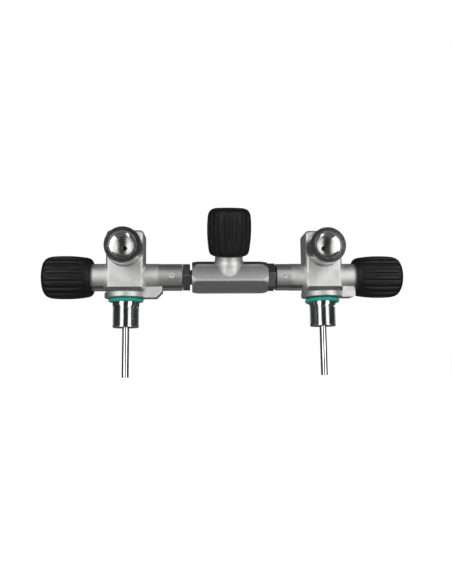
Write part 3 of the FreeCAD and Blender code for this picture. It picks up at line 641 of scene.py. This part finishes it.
def white_floor():
    """The floor right under the object. It keeps the object's shadow."""
    paint = Finish("floor_white")
    paint.set(Base_Color=(0.9, 0.9, 0.9, 1), Roughness=0.9)
    plain = Value(paint, paint.shader.outputs[0])
    paint.finish_with(paint.value("ShaderNodeMixShader", None, {
        "Fac": seen_straight(paint) * FLOOR_GLOW_SHARE, 1: plain, 2: paint.glow(FLOOR_GLOW)}))
    low = cad_box[0][2]
    ground = card("floor", (0, 0, low), (0, 0, low + 1), 8, 8, paint.material, True)
    ground.visible_glossy = False


def flag(name, place, width, height, level, face=(0, 0, 0)):
    """A grey card that only reflections see."""
    paint = Finish(name)
    paint.finish_with(paint.glow(level))
    card(name, place, face, width, height, paint.material)


white_sky()
white_floor()
flag("low_flag", (0, 0, -1.0), width=6.0, height=6.0, level=0.12)
flag("front_flag", (0.03, -1.6, 0.0), width=1.25, height=3.0, level=0.03)
flag("back_flag", (0, 1.2, 0.3), width=3.4, height=2.6, level=0.06)
flag("left_flag", (-1.5, 0.0, 0.3), width=2.4, height=2.6, level=0.05)
flag("right_flag", (1.5, 0.0, 0.3), width=2.4, height=2.6, level=0.05)
flag("roof_flag", (0, 0.1, 1.1), width=3.0, height=2.4, level=0.06, face=(0, 0.1, 0))
for softbox_name, softbox_azimuth in (("left_softbox", -35), ("right_softbox", 40)):
    softbox(softbox_name, softbox_azimuth, elevation=2, distance=1.0,
            width=0.44, height=1.6, strength=2.1)


# Where things stand, in millimetres.

def extent(node):
    """A node's lowest and highest corners in millimetres."""
    return [[round(value / MM, 3) for value in corner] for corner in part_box(node)]


mounts = {mount["name"]: mount for mount in frame["record"]["mounts"]}
post_low = extent("right_valve_body")[0]
post_knob_low, post_knob_high = extent("right_knob_grip")
boss_left, boss_right = (corner[0] for corner in extent("isolator_knob_core"))

SIDE = {"left": -1, "right": 1}
POST = mounts["right_neck"]["pos_m"][0] / MM
OUTLET_HEIGHT = mounts["right_outlet"]["pos_m"][2] / MM
OUTLET_FACE = post_low[1]
# Forward of this the outlet is polished.
OUTLET_FOOT = -14.2
OUTLET_RADIUS = 16.5
BORE_RADIUS = mounts["right_outlet"]["dims"]["r_mm"]
BORE_DEPTH = 17.5
BORE_FLOOR = OUTLET_FACE + BORE_DEPTH
# The slope under the block starts below this.
UNDER_BLOCK = -9.0
FLANGE_UNDERSIDE = extent("left_neck_o_ring")[1][2]
# The plain neck's radius, and how much of its length stays with the casting.
NECK_PLAIN = 12.3
NECK_KEPT = 6.6
NECK_CUT = FLANGE_UNDERSIDE - NECK_KEPT
NECK_END = post_low[2]
ARM_RADIUS = 12.7
CAST_REACH = 30.8
BOSS_MIDDLE = (boss_left + boss_right) / 2
BOSS_RADIUS = 13.1
TILT = math.radians(19)
# A handwheel's inner end from its valve's axis, its length, and its radius over a post's.
POST_KNOB_FOOT = post_knob_low[0] - POST
POST_KNOB_LENGTH = post_knob_high[0] - post_knob_low[0]
KNOB_FOOT = {"left": POST_KNOB_FOOT, "right": POST_KNOB_FOOT, "isolator": 21.4}
KNOB_LENGTH = {"left": POST_KNOB_LENGTH, "right": POST_KNOB_LENGTH, "isolator": 43.6}
KNOB_EXTRA = {"left": 0.0, "right": 0.0, "isolator": 0.45}
# Slack in telling a face by its place.
SLIGHT = 0.1


def post_axis(name):
    """From a cylinder's own axes to the object's."""
    return Matrix.Translation((POST * SIDE[name], 0, 0))


def outlet_axis(name, y):
    """From an outlet's own axes, its Z outwards from y, to the object's."""
    place = (POST * SIDE[name], y, OUTLET_HEIGHT)
    return Matrix.Translation(place) @ Matrix.Rotation(QUARTER_TURN, 4, "X")


def valve_axis(name):
    """From a valve's own axes, its Z outwards, to the object's."""
    if name == "isolator":
        return Matrix.Translation((BOSS_MIDDLE, 0, 0)) @ Matrix.Rotation(TILT, 4, "X")
    return post_axis(name) @ Matrix.Rotation(QUARTER_TURN * SIDE[name], 4, "Y")


# Pieces from the CAD's own nodes.

def clean_copy(node):
    """The node's mesh in millimetres, its doubles merged and flat runs joined into one face."""
    shape = bmesh.new()
    shape.from_mesh(frame["nodes"][node].data)
    bmesh.ops.scale(shape, vec=(1 / MM, 1 / MM, 1 / MM), verts=shape.verts)
    bmesh.ops.remove_doubles(shape, verts=shape.verts, dist=0.0005)
    bmesh.ops.dissolve_limit(shape, angle_limit=math.radians(0.2), verts=shape.verts, edges=shape.edges)
    for face in shape.faces:
        face.smooth = True
    return shape


def refinished(node, slot, edge, materials=None, prepare=None):
    """A node's own shape with merged corners, edges softened by edge and even shading."""
    shape = clean_copy(node)
    if prepare:
        prepare(shape)
    body = frame["nodes"][node]["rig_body"]
    piece = finished(node + "_look", shape, body, slot, node, materials)
    piece.data.set_sharp_from_angle(angle=SHARP_ON_METAL)
    bevel = piece.modifiers.new("edges", "BEVEL")
    bevel.width = edge * MM
    bevel.segments = 2
    bevel.limit_method = "ANGLE"
    bevel.angle_limit = SOFTEN_FROM
    bevel.harden_normals = True
    even = piece.modifiers.new("even_shading", "WEIGHTED_NORMAL")
    even.keep_sharp = True


for name, thing in frame["nodes"].items():
    thing.data.materials.clear()
    thing.data.materials.append(finishes[slots[name]])


# Castings, necks and outlets.

# A casting's finishes by their number: blasted all over, polished necks and outlets,
# the turned arm and the outlet's chamfer, and dark steel on the slope under the block as painted shade.
BLASTED, POLISHED, TURNED, PAINTED_SHADE = range(4)
casting_finishes = [finishes["cast_metal"], finishes["turned_metal"], arm_finish, finishes["tube_metal"]]


def casting_finish_at(point, facing, side):
    """The number of the finish that a face of a casting takes."""
    across = point.x - POST * side
    from_outlet = math.hypot(across, point.z - OUTLET_HEIGHT)
    in_mouth = point.y < OUTLET_FACE + 1.5 and from_outlet < BORE_RADIUS + 1.25
    slopes_down = abs(facing.y) > 0.5 and facing.z < -0.5 and abs(facing.x) < 0.1
    if in_mouth and -0.95 < facing.y < -0.3:
        return TURNED
    if point.y < OUTLET_FOOT and from_outlet < OUTLET_RADIUS + SLIGHT:
        return POLISHED
    # Dark steel on the slope under the block is painted shade, not a finish of the casting.
    if point.z < UNDER_BLOCK and slopes_down:
        return PAINTED_SHADE
    if point.z < FLANGE_UNDERSIDE - SLIGHT and math.hypot(across, point.y) < NECK_PLAIN + SLIGHT:
        return POLISHED
    past_casting = -across * side > CAST_REACH + 0.2
    if past_casting and math.hypot(point.y, point.z) < ARM_RADIUS + 0.05:
        return TURNED
    return BLASTED


def casting(name):
    """A post's casting without its thread, with its own finish on each machined place and dark steel as
    painted shade on the slope under its block.
    """
    def prepare(shape):
        geometry = list(shape.verts) + list(shape.edges) + list(shape.faces)
        bmesh.ops.bisect_plane(shape, geom=geometry, dist=0.0001, plane_co=(0, 0, NECK_CUT),
                               plane_no=(0, 0, -1), clear_outer=True)
        rim = [edge for edge in shape.edges if edge.is_boundary]
        bmesh.ops.triangle_fill(shape, use_beauty=True, edges=rim, normal=(0, 0, -1))
        shape.normal_update()
        for face in shape.faces:
            place = face.calc_center_median()
            face.material_index = casting_finish_at(place, face.normal, SIDE[name])

    node = name + "_valve_body"
    refinished(node, "cast_metal", edge=0.22, materials=casting_finishes, prepare=prepare)


# Which way a thread's crests point.
INWARDS, OUTWARDS = 1.0, -1.0
# A thread's steps to a turn, and how much of its pitch rounds its crests.
THREAD_STEPS = 48
THREAD_BLUNTING = 0.05


def thread(name, body, slot, node, matrix, helix, section, pitch, length, side):
    """One V thread along Z of matrix. helix is the radius of its section's middle."""
    inputs = {"Helix": helix, "Turns": length / pitch, "Length": length, "Section": section,
              "Side": side, "Crest": pitch * THREAD_BLUNTING, "Steps": THREAD_STEPS}
    grown(name, "thread", bpy.data.meshes.new("blank"), inputs, matrix, SHARP_ON_METAL, body, slot, node)


def neck(name):
    """The cylinder thread: a core with its end chamfer, and the thread's helix."""
    node = name + "_valve_body"
    bore, tip, shoulder, root = 3.25, 11.3, 12.1, 10.95
    outline = [(bore, NECK_END), (tip, NECK_END), (shoulder, NECK_END + 1.0), (shoulder, NECK_END + 1.5),
               (root, NECK_END + 2.4), (root, NECK_CUT - 1.8), (NECK_PLAIN, NECK_CUT - 0.7),
               (NECK_PLAIN, NECK_CUT), (bore, NECK_CUT)]
    turned(name + "_neck", eased(outline, radius=0.15), 96, post_axis(name), "posts", "turned_metal",
           node)
    start = post_axis(name) @ Matrix.Translation((0, 0, NECK_END + 1.6))
    thread(name + "_neck_thread", "posts", "turned_metal", node, start, helix=11.45, section=1.14,
           pitch=2.0, length=NECK_CUT - NECK_END - 3.0, side=OUTWARDS)


def outlet_thread(name):
    """The thread inside an outlet, its crests towards the axis."""
    pitch = 1.814
    thread(name + "_outlet_thread", "posts", "turned_metal", name + "_valve_body",
           outlet_axis(name, BORE_FLOOR - 1.5), helix=BORE_RADIUS - 0.25, section=pitch * 0.53,
           pitch=pitch, length=13.6, side=INWARDS)


def outlet_seat(name):
    """The bowl at the bottom of an outlet, part of a sphere, with its gas port."""
    port, rim, lip, sphere, rings = 2.2, 11.3, 0.35, 20.0, 16
    outline = [(port, 0.0), (port, lip)]
    for ring in range(1, rings + 1):
        radius = port + (rim - port) * ring / rings
        outline.append((radius, lip + sphere - math.sqrt(sphere ** 2 - radius ** 2)))
    outline.append((rim, 0.0))
    turned(name + "_outlet_seat", outline, 96, outlet_axis(name, BORE_FLOOR), "posts", "tube_metal",
           name + "_valve_body")


# Handwheels.

def grip_outline(length, extra):
    """A grip's section from the rim's corner out to the end and back through the bores.
    The rim's heights count from the inner end of a post's grip, and the end's from its own end."""
    rim = [(15.4, 0.0), (17.0, 0.9), (18.0, 2.4), (18.7, 4.8), (19.2, 8.5), (19.75, 13.5),
           (20.1, 18.5), (20.2, 23.5), (20.15, 29.0), (19.9, 34.0)]
    end = [(19.5, -6.6), (18.7, -4.0), (17.4, -2.0), (15.6, -0.7), (13.4, 0.0)]
    pocket, pocket_floor = 7.4, length - 5.4
    core = 11.4
    skirt, skirt_depth = 13.6, 5.9
    points = [(r + extra, z * length / POST_KNOB_LENGTH) for r, z in rim]
    points += [(r + extra, length + z) for r, z in end]
    points += [(pocket, length), (pocket, pocket_floor), (core, pocket_floor)]
    return points + [(core, skirt_depth), (skirt, skirt_depth), (skirt, 0.0)]


def grip(name):
    """The moulded rubber grip: a barrel with twenty flutes that run out at both ends."""
    length, extra = KNOB_LENGTH[name], KNOB_EXTRA[name]
    outline = eased(grip_outline(length, extra), radius=0.9, turns=4)
    shape = lathe(dense(outline, step=0.7), steps=400)
    blank = bpy.data.meshes.new("blank")
    shape.to_mesh(blank)
    shape.free()
    inputs = {"Count": 20, "Section": 1.9, "Bed": 18.8 + extra, "Arc": 420.0,
              "Crest": length * 0.5, "Softness": 0.15}
    foot = valve_axis(name) @ Matrix.Translation((0, 0, KNOB_FOOT[name]))
    grown(name + "_grip", "flutes", blank, inputs, foot, SHARP_ON_RUBBER,
          name + "_handwheel", "grip_rubber", name + "_knob_grip")


# Rings, tubes and the bar.

def neck_ring(name):
    """A cylinder O-ring. The right one hangs a little loose, its front lifted."""
    radius, section, sides = 14.5, 1.8, 24
    angles = [2 * math.pi * side / sides for side in range(sides)]
    outline = [(radius + section * math.cos(angle), section * math.sin(angle)) for angle in angles]
    place = post_axis(name) @ Matrix.Translation((0, 0, FLANGE_UNDERSIDE - section))
    if name == "right":
        drop, lift = 1.35, math.radians(4.3)
        place = place @ Matrix.Translation((0, 0, -drop)) @ Matrix.Rotation(-lift, 4, "X")
    turned(name + "_neck_ring", outline, 128, place, "posts", "green_ring", name + "_neck_o_ring")


def dip_tube(name):
    """The tube below a neck that keeps what lies in the cylinder out of the valve."""
    node = name + "_dip_tube"
    low, high = (corner[2] for corner in extent(node))
    inside, outside = 2.2, 3.2
    outline = [(inside, low), (outside, low), (outside, high), (inside, high)]
    turned(name + "_tube", eased(outline, radius=0.25), 64, post_axis(name), "posts", "turned_metal",
           node)


def crossover(name):
    """A crossover tube, threaded where it shows between the bar and the arm."""
    node = name + "_crossover_tube"
    body = frame["nodes"][node]["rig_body"]
    first, last = (corner[0] for corner in extent(node))
    bore, root = 3.0, 6.9
    thread_start = {"left": -46.0, "right": 30.0}[name]
    turn = Matrix.Rotation(QUARTER_TURN, 4, "Y")
    outline = [(bore, first), (root, first), (root, last), (bore, last)]
    turned(name + "_tube_core", eased(outline, radius=0.3), 72, turn, body, "tube_metal", node)
    thread(name + "_tube_thread", body, "tube_metal", node,
           turn @ Matrix.Translation((0, 0, thread_start)), helix=6.85, section=0.52,
           pitch=1.5, length=24.0, side=OUTWARDS)


def bar():
    """The hexagonal bar and its boss, which is blasted."""
    upright = Matrix.Rotation(-TILT, 3, "X")

    def on_boss(point, facing):
        local = upright @ point
        from_boss = math.hypot(local.x - BOSS_MIDDLE, local.y)
        side = BOSS_RADIUS - 0.3 < from_boss < BOSS_RADIUS + 1.5 and abs((upright @ facing).z) < 0.4
        end = from_boss < BOSS_RADIUS + SLIGHT and local.z > 20
        return local.z > 0 and (side or end)

    def prepare(shape):
        for face in shape.faces:
            face.material_index = int(on_boss(face.calc_center_median(), face.normal))

    paints = [bar_finish, boss_finish]
    refinished("isolator_body", "turned_metal", edge=0.4, materials=paints, prepare=prepare)


for post_name in SIDE:
    casting(post_name)
    neck(post_name)
    outlet_thread(post_name)
    outlet_seat(post_name)
    neck_ring(post_name)
    dip_tube(post_name)
    crossover(post_name)
    refinished(post_name + "_lock_nut", "nut_metal", edge=0.4)
    refinished(post_name + "_lock_screw", "nut_metal", edge=0.5, materials=[boss_finish])
bar()
for valve_name in KNOB_FOOT:
    grip(valve_name)
    refinished(valve_name + "_knob_core", "core_plastic", edge=0.3)
    refinished(valve_name + "_knob_nut", "nut_metal", edge=0.3)

scene = bpy.context.scene
scene.view_settings.view_transform = "Standard"
